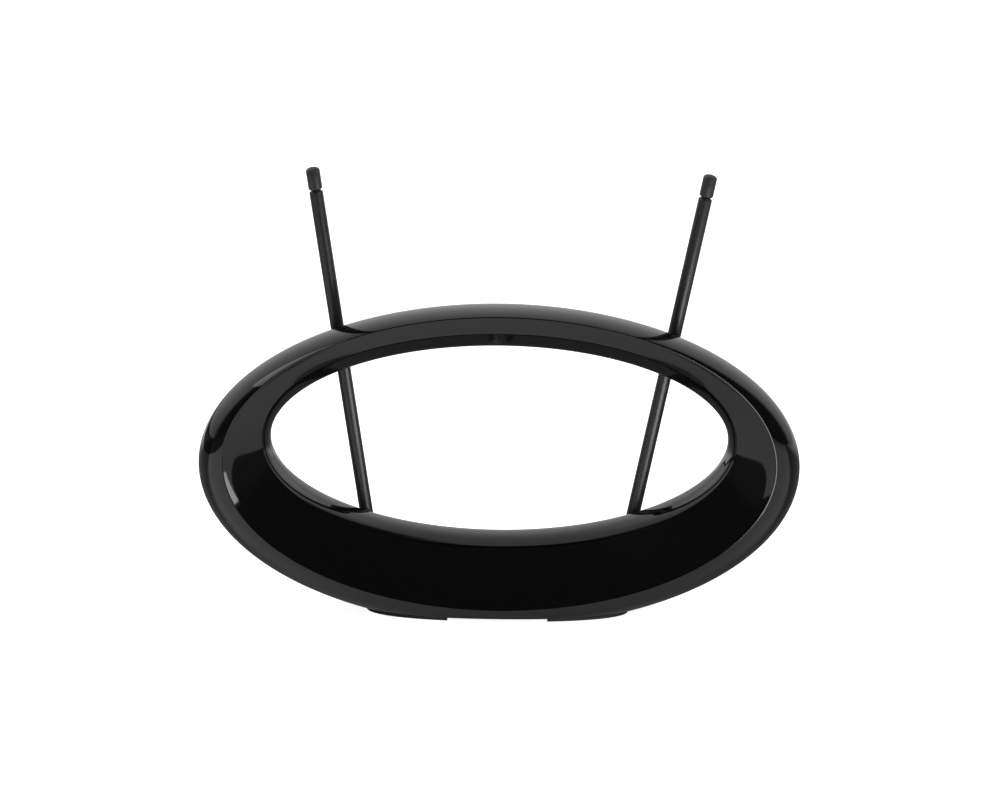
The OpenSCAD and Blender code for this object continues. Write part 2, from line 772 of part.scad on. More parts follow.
module tip_cap(side) {
    r = tube_radius(3) + 0.02;
    foot = mast_len - cap_len;
    dome = 1.8;
    color([0.05, 0.05, 0.05])
        in_mast(side)
            translate([0, mast_d, 0])
                rotate_extrude()
                    polygon(concat(
                        [[r, foot], [cap_r - cap_chamfer, foot], [cap_r, foot + cap_chamfer]],
                        [for (a = [0:10:90]) [cap_r * cos(a), mast_len - dome + dome * sin(a)]],
                        [[0, mast_len - 2.9], [r, mast_len - 2.9]]
                    ));
}

front_shell();
rear_shell();
foot_pad(left);  // left_foot_pad
foot_pad(right);  // right_foot_pad
case_screws();
loop_element();
loop_leads();
mast_leads();
circuit_board();
board_screws();
ferrite_core();
core_winding();
coax_jack();
jack_insulator();
jack_contact();
jack_washer();
jack_nut();
pivot_screw(left);  // left_pivot_screw
pivot_nut(left);  // left_pivot_nut
solder_tag(left);  // left_solder_tag
spring_washer(left);  // left_spring_washer
knuckle(left);  // left_knuckle
mast_tube(0, left);  // left_base_tube
mast_tube(1, left);  // left_second_tube
mast_tube(2, left);  // left_third_tube
top_tube(left);  // left_top_tube
tip_cap(left);  // left_tip_cap
pivot_screw(right);  // right_pivot_screw
pivot_nut(right);  // right_pivot_nut
solder_tag(right);  // right_solder_tag
spring_washer(right);  // right_spring_washer
knuckle(right);  // right_knuckle
mast_tube(0, right);  // right_base_tube
mast_tube(1, right);  // right_second_tube
mast_tube(2, right);  // right_third_tube
top_tube(right);  // right_top_tube
tip_cap(right);  // right_tip_cap
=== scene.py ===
"""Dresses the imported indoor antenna: glossy ring, telescopic masts, jack, pads and a white studio."""

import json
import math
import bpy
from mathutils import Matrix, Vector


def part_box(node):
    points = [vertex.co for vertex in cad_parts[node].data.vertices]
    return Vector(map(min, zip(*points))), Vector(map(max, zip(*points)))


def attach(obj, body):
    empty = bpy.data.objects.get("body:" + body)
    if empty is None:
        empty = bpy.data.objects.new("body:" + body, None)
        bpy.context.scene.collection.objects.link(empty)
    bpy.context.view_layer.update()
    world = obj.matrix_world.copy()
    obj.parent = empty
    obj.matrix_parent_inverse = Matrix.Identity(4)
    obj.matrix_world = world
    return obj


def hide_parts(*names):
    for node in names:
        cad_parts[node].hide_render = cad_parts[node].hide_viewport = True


bl_info = {
    "name": "Indoor antenna looks",
    "version": (1, 0, 0),
    "blender": (4, 5, 0),
    "location": "View3D > Sidebar > Antenna",
    "description": "Builds the finished surfaces and the studio round the packed antenna",
    "category": "Object",
}

import bmesh
import bpy
import numpy as np
from bpy.props import FloatProperty, FloatVectorProperty, IntProperty, PointerProperty
from mathutils import Matrix, Vector

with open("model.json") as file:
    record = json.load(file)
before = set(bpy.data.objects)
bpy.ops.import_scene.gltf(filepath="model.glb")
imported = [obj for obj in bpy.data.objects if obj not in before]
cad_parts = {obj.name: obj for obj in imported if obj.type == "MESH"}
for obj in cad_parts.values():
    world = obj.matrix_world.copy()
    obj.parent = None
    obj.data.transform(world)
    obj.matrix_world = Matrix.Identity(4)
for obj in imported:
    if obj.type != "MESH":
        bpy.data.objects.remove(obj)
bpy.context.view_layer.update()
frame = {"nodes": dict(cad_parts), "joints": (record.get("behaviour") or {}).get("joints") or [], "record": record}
MM = 0.001
JOINTS = {j["name"]: j for j in frame["joints"]}
SIDES = ("left", "right")


def length(name, description, default, low=0.0, high=1.0):
    return FloatProperty(
        name=name, description=description, default=default, min=low, max=high, unit="LENGTH", precision=5
    )


def factor(name, description, default, low=0.0, high=4.0):
    return FloatProperty(name=name, description=description, default=default, min=low, max=high)


def angle(name, description, degrees, low, high):
    return FloatProperty(
        name=name, description=description, default=math.radians(degrees), min=low, max=high, subtype="ANGLE"
    )


def count(name, description, default, low, high):
    return IntProperty(name=name, description=description, default=default, min=low, max=high)


def colour(name, description, default):
    return FloatVectorProperty(
        name=name, description=description, default=default, size=3, min=0.0, max=1.0, subtype="COLOR"
    )


class AntennaRing(bpy.types.PropertyGroup):
    rim_half_width: length("Rim half width", "Half the width of the crisp rim", 0.1332)
    rim_half_height: length("Rim half height", "Half the height of the crisp rim", 0.07485)
    rim_height: length("Rim centre height", "Height of the rim's centre above the table", 0.08155)
    front_y: length("Front plane", "Place of the rim's plane along the depth", -0.02075, -0.1, 0.1)
    depth: length("Ring depth", "Depth from the rim to the flat back", 0.029)
    floor_height: length("Foot height", "Height of the flat foot above the table", 0.0015)
    wall: length("Wall", "Wall of both shells", 0.0022)
    rim_edge: length("Rim edge", "How far the rounding of the crisp rim reaches", 0.0006)
    joint_gap: length("Joint groove", "Width of the groove where the shells meet", 0.0003)
    steps: count("Steps round", "Number of steps round the oval", 384, 48, 720)


class AntennaMasts(bpy.types.PropertyGroup):
    tube_radius: length("Tube radius", "Outer radius of the base tube", 0.0033)
    cap_radius: length("Cap radius", "Radius of the cap", 0.00335)
    cap_length: length("Cap length", "Length of the cap", 0.011)
    mast_length: length("Closed length", "Length from the pivot to the tip", 0.202)
    steps: count("Steps round", "Number of steps round a mast", 64, 16, 128)


class AntennaJack(bpy.types.PropertyGroup):
    thread_radius: length("Thread radius", "Outer radius of the jack's thread", 0.00476)
    thread_pitch: length("Thread pitch", "Pitch of the jack's thread", 0.00079)
    thread_depth: length("Thread depth", "Depth of the jack's thread", 0.0004)
    bore_radius: length("Bore radius", "Radius of the bore that holds the insulator", 0.0032)


class AntennaScrews(bpy.types.PropertyGroup):
    head_radius: length("Head radius", "Radius of a case screw's head", 0.0027)
    head_height: length("Head height", "Height of a case screw's head", 0.0019)
    shank_radius: length("Shank radius", "Radius of a case screw's shank", 0.00145)
    recess_length: length("Recess length", "Length of each arm pair of the cross recess", 0.003)
    recess_width: length("Recess width", "Width of the arms of the cross recess", 0.00055)
    recess_depth: length("Recess depth", "Depth of the cross recess", 0.0009)


class AntennaWinding(bpy.types.PropertyGroup):
    turns: count("Turns", "Number of turns round the core", 10, 4, 16)
    wire_radius: length("Wire radius", "Radius of the winding's wire", 0.00025)
    core_radius: length("Core radius", "Outer radius of the ring core", 0.006)
    core_bore: length("Core bore", "Radius of the core's bore", 0.003)
    core_length: length("Core length", "Length of the core", 0.005)


class AntennaColours(bpy.types.PropertyGroup):
    case: colour("Case", "Colour of the glossy case", (0.0022, 0.0022, 0.0023))
    mast: colour("Masts", "Colour of the satin masts", (0.016, 0.016, 0.0165))
    cap: colour("Caps", "Colour of the matt caps", (0.026, 0.026, 0.027))
    pad: colour("Pads", "Colour of the rubber pads", (0.014, 0.014, 0.014))
    nickel: colour("Nickel", "Colour of the plated jack", (0.72, 0.71, 0.68))
    steel: colour("Steel", "Colour of plated steel", (0.56, 0.56, 0.55))


class AntennaStudio(bpy.types.PropertyGroup):
    camera_distance: length("Camera distance", "Distance of the camera from what it aims at", 1.3, 0.1, 10.0)
    camera_elevation: angle("Camera elevation", "Height of the view above level", 18, 0.0, 1.5)
    camera_roll: angle("Camera roll", "Turn of the view about its own axis", 0.69, -0.2, 0.2)
    lens: factor("Lens", "Focal length in millimetres", 97.1, 20.0, 300.0)
    backdrop: colour("Backdrop", "Colour of the backdrop and the table", (1.0, 1.0, 1.0))
    backdrop_turn: angle("Backdrop turn", "Turn of the backdrop's middle to the right", -10, -1.5, 1.5)
    backdrop_glow: factor("Backdrop glow", "Strength of the backdrop in what shines", 1.1)
    ceiling_glow: factor("Ceiling glow", "Strength of the ceiling in what shines", 0.5)
    table_front: length("Table front", "Reach of the white table in front of the ring", 0.135, 0.0, 2.0)
    table_slant: factor("Table slant", "Slope of the table's two front edges", 1.42, 0.1, 5.0)
    card_glow: factor("Card glow", "Strength of the low card in what shines", 7.0, 0.0, 20.0)
    table_left: length("Table left", "Reach of the white table to the left", 0.55, 0.0, 2.0)
    table_lift: factor("Table lift", "Light that the camera sees in the table itself", 0.9, 0.0, 2.0)
    ambient: factor("Ambient", "Strength of the soft light from all round", 0.5)


def smooth_by_angle(mesh_data, sharp_angle):
    limit = math.radians(sharp_angle)
    mesh_data.normal_update()
    for face in mesh_data.faces:
        face.smooth = True
    for edge in mesh_data.edges:
        edge.smooth = not (len(edge.link_faces) == 2 and edge.calc_face_angle(0.0) > limit)


def finish_mesh(name, mesh_data, material=None, sharp_angle=35.0):
    """Makes an object from a bmesh at the origin, smooth but for its sharp edges."""
    smooth_by_angle(mesh_data, sharp_angle)
    mesh = bpy.data.meshes.new(name)
    mesh_data.to_mesh(mesh)
    mesh_data.free()
    if material:
        mesh.materials.clear()
        mesh.materials.append(bpy.data.materials[material])
    obj = bpy.data.objects.new(name, mesh)
    bpy.context.scene.collection.objects.link(obj)
    return obj


def lathe(mesh_data, profile, steps, axis_from, axis_to):
    """Turns a closed or open profile of (radius, height) points round an axis."""
    axis = (axis_to - axis_from).normalized()
    side = axis.cross(Vector((0, 1, 0)))
    side = side.normalized() if side.length > 1e-6 else Vector((1, 0, 0))
    other = axis.cross(side)
    rings = []
    for radius, height in profile:
        if radius < 1e-9:
            rings.append([mesh_data.verts.new(axis_from + axis * height)])
            continue
        ring = []
        for k in range(steps):
            a = 2 * math.pi * k / steps
            ring.append(mesh_data.verts.new(
                axis_from + axis * height + (side * math.cos(a) + other * math.sin(a)) * radius
            ))
        rings.append(ring)
    for low, high in zip(rings, rings[1:]):
        for k in range(steps):
            n = (k + 1) % steps
            if len(low) == 1 and len(high) == 1:
                continue
            if len(low) == 1:
                mesh_data.faces.new((low[0], high[n], high[k]))
            elif len(high) == 1:
                mesh_data.faces.new((low[k], low[n], high[0]))
            else:
                mesh_data.faces.new((low[k], low[n], high[n], high[k]))
    return rings


def outward(mesh_data):
    bmesh.ops.remove_doubles(mesh_data, verts=mesh_data.verts, dist=1e-7)
    bmesh.ops.recalc_face_normals(mesh_data, faces=mesh_data.faces)


def turned(name, profile, steps, foot, axis, material, sharp_angle):
    """A finished object from one profile turned round an axis."""
    made = bmesh.new()
    lathe(made, profile, steps, foot, foot + axis)
    outward(made)
    return finish_mesh(name, made, material, sharp_angle)


def new_group(name, inputs, outputs):
    tree = bpy.data.node_groups.new(name, "ShaderNodeTree")
    for label, kind, default in inputs:
        socket = tree.interface.new_socket(name=label, in_out="INPUT", socket_type=kind)
        if default is not None:
            socket.default_value = default
    for label, kind in outputs:
        tree.interface.new_socket(name=label, in_out="OUTPUT", socket_type=kind)
    return tree, tree.nodes.new("NodeGroupInput"), tree.nodes.new("NodeGroupOutput")


def add(tree, kind, **values):
    node = tree.nodes.new(kind)
    for key, value in values.items():
        setattr(node, key, value)
    return node


def put(tree, node, **inputs):
    """Links or sets the inputs of a node, named with underscores for spaces, and returns the node."""
    for key, value in inputs.items():
        socket = node.inputs[key.replace("_", " ")]
        if hasattr(value, "is_output"):
            tree.links.new(value, socket)
        else:
            socket.default_value = value
    return node


def filled(tree, kind, **inputs):
    """Adds a node with these inputs and returns its outputs."""
    return put(tree, add(tree, kind), **inputs).outputs


def first(tree, kind, **inputs):
    return filled(tree, kind, **inputs)[0]


def math_node(tree, operation, a, b=None, clamp=False):
    node = add(tree, "ShaderNodeMath", operation=operation, use_clamp=clamp)
    for index, value in enumerate((a, b)):
        if value is None:
            continue
        if hasattr(value, "is_output"):
            tree.links.new(value, node.inputs[index])
        else:
            node.inputs[index].default_value = value
    return node.outputs[0]


def ramp(tree, value, start, full, low, high):
    """A smooth step of a value from low to high between start and full."""
    node = add(tree, "ShaderNodeMapRange", interpolation_type="SMOOTHSTEP")
    put(tree, node, Value=value, From_Min=start, From_Max=full, To_Min=low, To_Max=high)
    return node.outputs["Result"]


def mix_shaders(tree, share, one, other):
    """Mixes two shaders, or adds them where no share is given."""
    node = add(tree, "ShaderNodeAddShader" if share is None else "ShaderNodeMixShader")
    if share is not None:
        put(tree, node, Fac=share)
    for socket, shader in zip(list(node.inputs)[-2:], (one, other)):
        tree.links.new(shader, socket)
    return node.outputs[0]


FLOAT, COLOUR, VECTOR = "NodeSocketFloat", "NodeSocketColor", "NodeSocketVector"
SKIN_OUTPUTS = [("Colour", COLOUR), ("Roughness", FLOAT), ("Normal", VECTOR)]


def close_skin(tree, enter, leave, cover, over, rough, bump):
    """Ends a shader group: its second colour lies over the first where the cover says."""
    mix = put(tree, add(tree, "ShaderNodeMix", data_type="RGBA"), Factor=cover, A=enter.outputs["Colour"],
              B=enter.outputs[over])
    put(tree, leave, Colour=mix.outputs["Result"], Roughness=rough, Normal=bump)


def moulded_skin_group():
    """Fine waviness of a moulded gloss skin, with a haze that dulls it here and there and specks of dust."""
    tree, enter, leave = new_group("Moulded skin", [
        ("Vector", VECTOR, None), ("Wave", FLOAT, 0.02), ("Roughness", FLOAT, 0.04), ("Haze", FLOAT, 0.03),
        ("Colour", COLOUR, (0.002, 0.002, 0.002, 1)), ("Dust colour", COLOUR, (0.05, 0.05, 0.05, 1)),
        ("Dust", FLOAT, 0.1)], SKIN_OUTPUTS)
    given = enter.outputs
    waves = filled(tree, "ShaderNodeTexNoise", Vector=given["Vector"], Scale=38.0, Detail=1.0)["Fac"]
    bump = filled(tree, "ShaderNodeBump", Strength=given["Wave"], Distance=0.001, Height=waves)["Normal"]
    cloud = filled(tree, "ShaderNodeTexNoise", Vector=given["Vector"], Scale=16.0, Detail=5.0)["Fac"]
    haze = math_node(tree, "MULTIPLY", cloud, given["Haze"])
    rough = math_node(tree, "ADD", haze, given["Roughness"], clamp=True)
    specks = filled(tree, "ShaderNodeTexVoronoi", Vector=given["Vector"], Scale=420.0)
    speck_size, speck_rarity = 0.055, 0.93
    small = math_node(tree, "LESS_THAN", specks["Distance"], speck_size)
    picked = filled(tree, "ShaderNodeSeparateColor", Color=specks["Color"])["Red"]
    few = math_node(tree, "GREATER_THAN", picked, speck_rarity)
    amount = math_node(tree, "MULTIPLY", math_node(tree, "MULTIPLY", small, few), given["Dust"], clamp=True)
    close_skin(tree, enter, leave, amount, "Dust colour", rough, bump)


def fine_grain_group():
    """Grain of a coated, cast, rubber or plated surface, with mottled roughness and worn patches."""
    tree, enter, leave = new_group("Fine grain", [
        ("Vector", VECTOR, None), ("Scale", FLOAT, 900.0), ("Depth", FLOAT, 0.1), ("Roughness", FLOAT, 0.4),
        ("Spread", FLOAT, 0.1), ("Colour", COLOUR, (0.02, 0.02, 0.02, 1)),
        ("Worn colour", COLOUR, (0.1, 0.1, 0.1, 1)), ("Wear", FLOAT, 0.0)], SKIN_OUTPUTS)
    given = enter.outputs
    grain = filled(tree, "ShaderNodeTexNoise", Vector=given["Vector"], Scale=given["Scale"],
                   Detail=3.0)["Fac"]
    bump = filled(tree, "ShaderNodeBump", Strength=given["Depth"], Distance=0.0002, Height=grain)["Normal"]
    mottle = filled(tree, "ShaderNodeTexNoise", Vector=given["Vector"], Scale=60.0, Detail=4.0)["Fac"]
    middle, worn_above = 0.5, 0.62
    shifted = math_node(tree, "SUBTRACT", mottle, middle)
    spread = math_node(tree, "MULTIPLY", shifted, given["Spread"])
    rough = math_node(tree, "ADD", spread, given["Roughness"], clamp=True)
    patch = math_node(tree, "GREATER_THAN", mottle, worn_above)
    worn = math_node(tree, "MULTIPLY", patch, given["Wear"], clamp=True)
    close_skin(tree, enter, leave, worn, "Worn colour", rough, bump)


def surface(name, group, values, tint, metallic=0.0, ior=1.45, stretch=None):
    """A material whose colour, roughness and normal come from one of the groups."""
    material = bpy.data.materials.new(name)
    material.use_nodes = True
    tree = material.node_tree
    vector = add(tree, "ShaderNodeTexCoord").outputs["Object"]
    if stretch:
        vector = filled(tree, "ShaderNodeMapping", Vector=vector, Scale=stretch)["Vector"]
    skin = put(tree, add(tree, "ShaderNodeGroup", node_tree=bpy.data.node_groups[group]), Vector=vector,
               Colour=(*tint, 1), **values).outputs
    put(tree, tree.nodes["Principled BSDF"], Metallic=metallic, IOR=ior, Base_Color=skin["Colour"],
        Roughness=skin["Roughness"], Normal=skin["Normal"])


def dress(node, material):
    obj = frame["nodes"][node]
    obj.data.materials.clear()
    obj.data.materials.append(bpy.data.materials[material])


def arc_radius(h, d):
    return (d * d + h * h) / (2 * h)


def arc_fall(r, d):
    return r - math.sqrt(r * r - d * d)


class RingSection:
    """Outline of the ring in one direction, in millimetres from the rim's centre and behind the rim."""

    band_steps, rim_steps, face_steps, lip_steps = 40, 8, 24, 30
    brow_reach, turn_share = 0.12, 0.12

    def __init__(self, reach, band, crest, face, lip, face_depth, dish=0.0, brow=0.0, throat=20.0,
                 chamfer=0.0):
        self.reach, self.band, self.crest, self.face, self.lip = reach, band, crest, face, lip
        self.face_depth, self.dish, self.brow = face_depth, dish, brow
        self.throat, self.chamfer = throat, chamfer

    def band_at(self, w):
        return self.reach + self.band - arc_fall(arc_radius(self.band, self.crest), w - self.crest)

    def hole_at(self, w):
        """The lip runs to the throat as an arc, or as a straight chamfer that turns into the wall."""
        run = self.throat - self.face_depth
        fall = arc_fall(arc_radius(self.lip, run), w - self.throat)
        if self.chamfer and w < self.throat:
            rise = self.chamfer * run / self.lip
            share, turn = (w - self.face_depth) / run, self.turn_share
            past = share - (1 / rise - turn)
            fall = self.lip * (1 - rise * share)
            if past > 0:
                fall = self.lip * rise * max(0.0, 2 * turn - past) ** 2 / (4 * turn)
        return self.reach - self.face - self.lip + fall

    def face_at(self, t):
        """The face dips by its dish in the middle, and by its brow just inside the rim."""
        dip = self.dish * 4 * t * (1 - t) + self.brow * (1 - math.exp(-t / self.brow_reach)) * (1 - t)
        return (self.reach - self.face * t, self.face_depth * t + dip)

    def front(self, joint, edge):
        """Skin of the front shell, from the joint outside over the rounded rim to the joint in the hole."""
        slope = self.crest / math.sqrt(arc_radius(self.band, self.crest) ** 2 - self.crest ** 2)
        start = edge / math.hypot(slope, 1)
        last = self.band_steps
        depths = [start + (joint - start) * (1 - i / last) ** 2 for i in range(last + 1)]
        points = [(self.band_at(w), w) for w in depths]
        finish = edge / math.hypot(self.face, self.face_depth)
        corner, near, far = (self.reach, 0.0), points[-1], self.face_at(finish)
        for i in range(1, self.rim_steps):
            u = i / self.rim_steps
            points.append(tuple((1 - u) ** 2 * p + 2 * u * (1 - u) * q + u * u * r
                                for p, q, r in zip(near, corner, far)))
        points += [self.face_at(finish + (1 - finish) * i / self.face_steps) for i in range(self.face_steps)]
        drop = joint - self.face_depth
        depths = [self.face_depth + drop * i / self.lip_steps for i in range(self.lip_steps + 1)]
        return points + [(self.hole_at(w), w) for w in depths]

    def front_lining(self, joint, wall):
        """A coarser line inside the skin, a wall away from the band and the hole, and more from the face."""
        slack = 0.3
        outer = [(self.band_at(w) - wall, w) for w in (joint, 14.0, 9.0, 6.0)]
        face = [(self.face_at(t)[0], self.face_at(t)[1] + wall + slack) for t in (0.25, 0.6, 0.9)]
        hole = [(self.hole_at(w) + wall, w) for w in (12.5, 17.0, joint)]
        return outer + face + hole

    def rear(self, joint, depth, rounding):
        """Skin of the rear shell, from the joint outside round the flat back to the joint in the hole."""
        corner = depth - rounding
        turn = [i * math.pi / 16 for i in range(9)]
        sides = [joint + (corner - joint) * i / 5 for i in range(6)]
        outside, inside = self.band_at(corner) - rounding, self.hole_at(corner) + rounding
        points = [(self.band_at(w), w) for w in sides[:5]]
        points += [(outside + rounding * math.cos(a), corner + rounding * math.sin(a)) for a in turn]
        points += [(outside + (inside - outside) * i / 8, depth) for i in range(1, 8)]
        points += [(inside - rounding * math.cos(a), corner + rounding * math.sin(a)) for a in reversed(turn)]
        return points + [(self.hole_at(w), w) for w in reversed(sides[:5])]

    def rear_lining(self, joint, depth, rounding, wall):
        corner = depth - rounding
        return [
            (self.band_at(joint) - wall, joint), (self.band_at(corner) - wall, corner),
            (self.band_at(corner) - rounding, depth - wall), (self.hole_at(corner) + rounding, depth - wall),
            (self.hole_at(corner) + wall, corner), (self.hole_at(joint) + wall, joint),
        ]


def ring_sections(ring):
    """The ring's outline towards its sides, its top and its foot."""
    reach, height = ring.rim_half_width / MM, ring.rim_half_height / MM
    return (
        RingSection(reach, band=13.3, crest=18.5, face=18.6, lip=3.4, face_depth=8.5, brow=0.55),
        RingSection(height, band=1.9, crest=12.0, face=9.8, lip=8.8, face_depth=5.6, chamfer=1.05),
        RingSection(height, band=13.8, crest=18.5, face=29.2, lip=4.0, face_depth=8.5, dish=0.5, brow=0.3,
                    throat=21.5),
    )


def sweep_oval(ring, lists, floor=None):
    """Carries the points of the three directions round the oval and returns an array of places in metres."""
    side, top, foot = (np.array(points) for points in lists)
    angles = np.linspace(0, 2 * math.pi, ring.steps, endpoint=False)
    c, s = np.cos(angles)[:, None], np.sin(angles)[:, None]
    x = side[None, :, 0] * c
    z = (top[None, :, 0] - foot[None, :, 0]) / 2 + (top[None, :, 0] + foot[None, :, 0]) / 2 * s
    w = side[None, :, 1] * c**2 + np.where(s > 0, top[None, :, 1], foot[None, :, 1]) * s**2
    if floor is not None:
        z = np.maximum(z, floor)
    return np.stack([x * MM, w * MM + ring.front_y, z * MM + ring.rim_height], axis=2)


def shell_mesh(ring, skin, lining):
    """A closed shell from its skin and lining, sliced flat at the foot."""
    inner_floor = (ring.floor_height + ring.wall - ring.rim_height) / MM
    loops = np.concatenate(
        [sweep_oval(ring, skin), sweep_oval(ring, [p[::-1] for p in lining], inner_floor)], axis=1
    )
    mesh_data = bmesh.new()
    rings = [[mesh_data.verts.new(p) for p in loop] for loop in loops]
    size = len(rings[0])
    for j in range(len(rings)):
        here, there = rings[j], rings[(j + 1) % len(rings)]
        for i in range(size):
            n = (i + 1) % size
            mesh_data.faces.new((here[i], here[n], there[n], there[i]))
    cut = bmesh.ops.bisect_plane(
        mesh_data, geom=mesh_data.verts[:] + mesh_data.edges[:] + mesh_data.faces[:], dist=1e-7,
        plane_co=(0, 0, ring.floor_height), plane_no=(0, 0, -1), clear_outer=True,
    )
    edges = [e for e in cut["geom_cut"] if isinstance(e, bmesh.types.BMEdge)]
    bmesh.ops.triangle_fill(mesh_data, use_beauty=True, use_dissolve=False, edges=edges)
    outward(mesh_data)
    return mesh_data


def bore(mesh_data, name, holes):
    """Cuts round holes along the depth into a shell: each is x, z, radius, from and to."""
    cutter = bmesh.new()
    for x, z, r, low, high in holes:
        profile = [(0, 0), (r, 0), (r, high - low), (0, high - low)]
        lathe(cutter, profile, 48, Vector((x, low, z)), Vector((x, high, z)))
    outward(cutter)
    tool, body = finish_mesh(name + "_cutter", cutter), finish_mesh(name, mesh_data)
    modifier = body.modifiers.new("bores", "BOOLEAN")
    modifier.operation, modifier.object, modifier.solver = "DIFFERENCE", tool, "EXACT"
    bpy.context.view_layer.update()
    made = bpy.data.meshes.new_from_object(body.evaluated_get(bpy.context.evaluated_depsgraph_get()))
    body.modifiers.clear()
    body.data = made
    bpy.data.objects.remove(tool)
    fixed = bmesh.new()
    fixed.from_mesh(made)
    bmesh.ops.remove_doubles(fixed, verts=fixed.verts, dist=1e-8)
    smooth_by_angle(fixed, 35.0)
    fixed.to_mesh(made)
    fixed.free()
    return body


def centre_of(node):
    low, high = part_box(node)
    return (low + high) / 2


TOWARDS_BACK = (-math.pi / 2, 0.0, 0.0)


def size_tree(name, sizes):
    """A geometry tree with a geometry, named sizes and a material as inputs."""
    tree = bpy.data.node_groups.new(name, "GeometryNodeTree")
    tree.interface.new_socket(name="Geometry", in_out="INPUT", socket_type="NodeSocketGeometry")
    for label, default in sizes.items():
        kind = "NodeSocketInt" if isinstance(default, int) else "NodeSocketFloat"
        tree.interface.new_socket(name=label, in_out="INPUT", socket_type=kind).default_value = default
    tree.interface.new_socket(name="Material", in_out="INPUT", socket_type="NodeSocketMaterial")
    tree.interface.new_socket(name="Geometry", in_out="OUTPUT", socket_type="NodeSocketGeometry")
    return tree, tree.nodes.new("NodeGroupInput"), tree.nodes.new("NodeGroupOutput")


def point_at(tree, x=0.0, y=0.0, z=0.0):
    return first(tree, "ShaderNodeCombineXYZ", X=x, Y=y, Z=z)


def close_tree(tree, enter, leave, geometry):
    """Ends a tree in real geometry that wears the material."""
    solid = first(tree, "GeometryNodeRealizeInstances", Geometry=geometry)
    worn = first(tree, "GeometryNodeSetMaterial", Geometry=solid, Material=enter.outputs["Material"])
    tree.links.new(worn, leave.inputs[0])


def grow(name, plan, places, sizes, material, sharp_angle=35.0, lengths=None):
    """Runs the geometry tree that a plan makes on points, and returns the plain mesh object."""
    tree = plan(sizes)
    seed = bpy.data.meshes.new(name + "_points")
    seed.from_pydata([tuple(p) for p in places], [], [])
    if lengths:
        seed.attributes.new("shank_length", "FLOAT", "POINT").data.foreach_set("value", lengths)
    holder = bpy.data.objects.new(name + "_points", seed)
    bpy.context.scene.collection.objects.link(holder)
    modifier = holder.modifiers.new(name, "NODES")
    modifier.node_group = tree
    values = dict(sizes, Material=bpy.data.materials[material])
    for item in tree.interface.items_tree:
        if item.item_type == "SOCKET" and item.in_out == "INPUT" and item.name in values:
            modifier[item.identifier] = values[item.name]
    holder.update_tag()
    bpy.context.view_layer.update()
    made = bpy.data.meshes.new_from_object(holder.evaluated_get(bpy.context.evaluated_depsgraph_get()))
    bpy.data.objects.remove(holder)
    mesh_data = bmesh.new()
    mesh_data.from_mesh(made)
    if not mesh_data.faces:
        raise RuntimeError(name + " came out empty")
    outward(mesh_data)
    return finish_mesh(name, mesh_data, material, sharp_angle)


def screw_tree(sizes):
    """A domed head with a cross recess on each point, towards +Y, over a shank as long as the point says."""
    tree, enter, leave = size_tree("Case screw", sizes)
    size = enter.outputs
    head = first(tree, "GeometryNodeMeshCylinder", Vertices=40, Side_Segments=4, Fill_Segments=5,
                 Radius=size["Head Radius"], Depth=size["Head Height"])
    place = add(tree, "GeometryNodeInputPosition").outputs[0]
    axes = filled(tree, "ShaderNodeSeparateXYZ", Vector=place)
    across = math_node(tree, "SQRT", math_node(
        tree, "ADD", math_node(tree, "POWER", axes[0], 2.0), math_node(tree, "POWER", axes[1], 2.0)))
    share = math_node(tree, "POWER", math_node(tree, "DIVIDE", across, size["Head Radius"]), 3.0)
    high = math_node(tree, "GREATER_THAN", axes[2], math_node(tree, "MULTIPLY", size["Head Height"], 0.4))
    sag = math_node(tree, "MULTIPLY", math_node(tree, "MULTIPLY", share, high),
                    math_node(tree, "MULTIPLY", size["Head Height"], -0.4))
    domed = first(tree, "GeometryNodeSetPosition", Geometry=head, Offset=point_at(tree, z=sag))
    arm_size = point_at(tree, size["Recess Length"], size["Recess Width"], size["Head Height"])
    bar = first(tree, "GeometryNodeMeshCube", Size=arm_size)
    lift = math_node(tree, "SUBTRACT", size["Head Height"], size["Recess Depth"])
    cut = add(tree, "GeometryNodeMeshBoolean", operation="DIFFERENCE")
    tree.links.new(domed, cut.inputs["Mesh 1"])
    for turn in (0.0, math.pi / 2):
        arm = first(tree, "GeometryNodeTransform", Geometry=bar, Translation=point_at(tree, z=lift),
                    Rotation=(0.0, 0.0, turn))
        tree.links.new(arm, cut.inputs["Mesh 2"])
    rise = math_node(tree, "MULTIPLY", size["Head Height"], 0.5)
    seated = first(tree, "GeometryNodeTransform", Geometry=cut.outputs["Mesh"],
                   Translation=point_at(tree, z=rise))
    shank = first(tree, "GeometryNodeMeshCylinder", Vertices=24, Radius=size["Shank Radius"], Depth=1.0)
    hung = first(tree, "GeometryNodeTransform", Geometry=shank, Translation=(0.0, 0.0, -0.5))
    reach = put(tree, add(tree, "GeometryNodeInputNamedAttribute", data_type="FLOAT"), Name="shank_length")
    both = add(tree, "GeometryNodeJoinGeometry")
    for shape, scale in ((seated, (1.0, 1.0, 1.0)), (hung, point_at(tree, 1.0, 1.0, reach.outputs[0]))):
        spread = first(tree, "GeometryNodeInstanceOnPoints", Points=size["Geometry"], Instance=shape,
                       Rotation=TOWARDS_BACK, Scale=scale)
        tree.links.new(spread, both.inputs[0])
    close_tree(tree, enter, leave, both.outputs[0])
    return tree


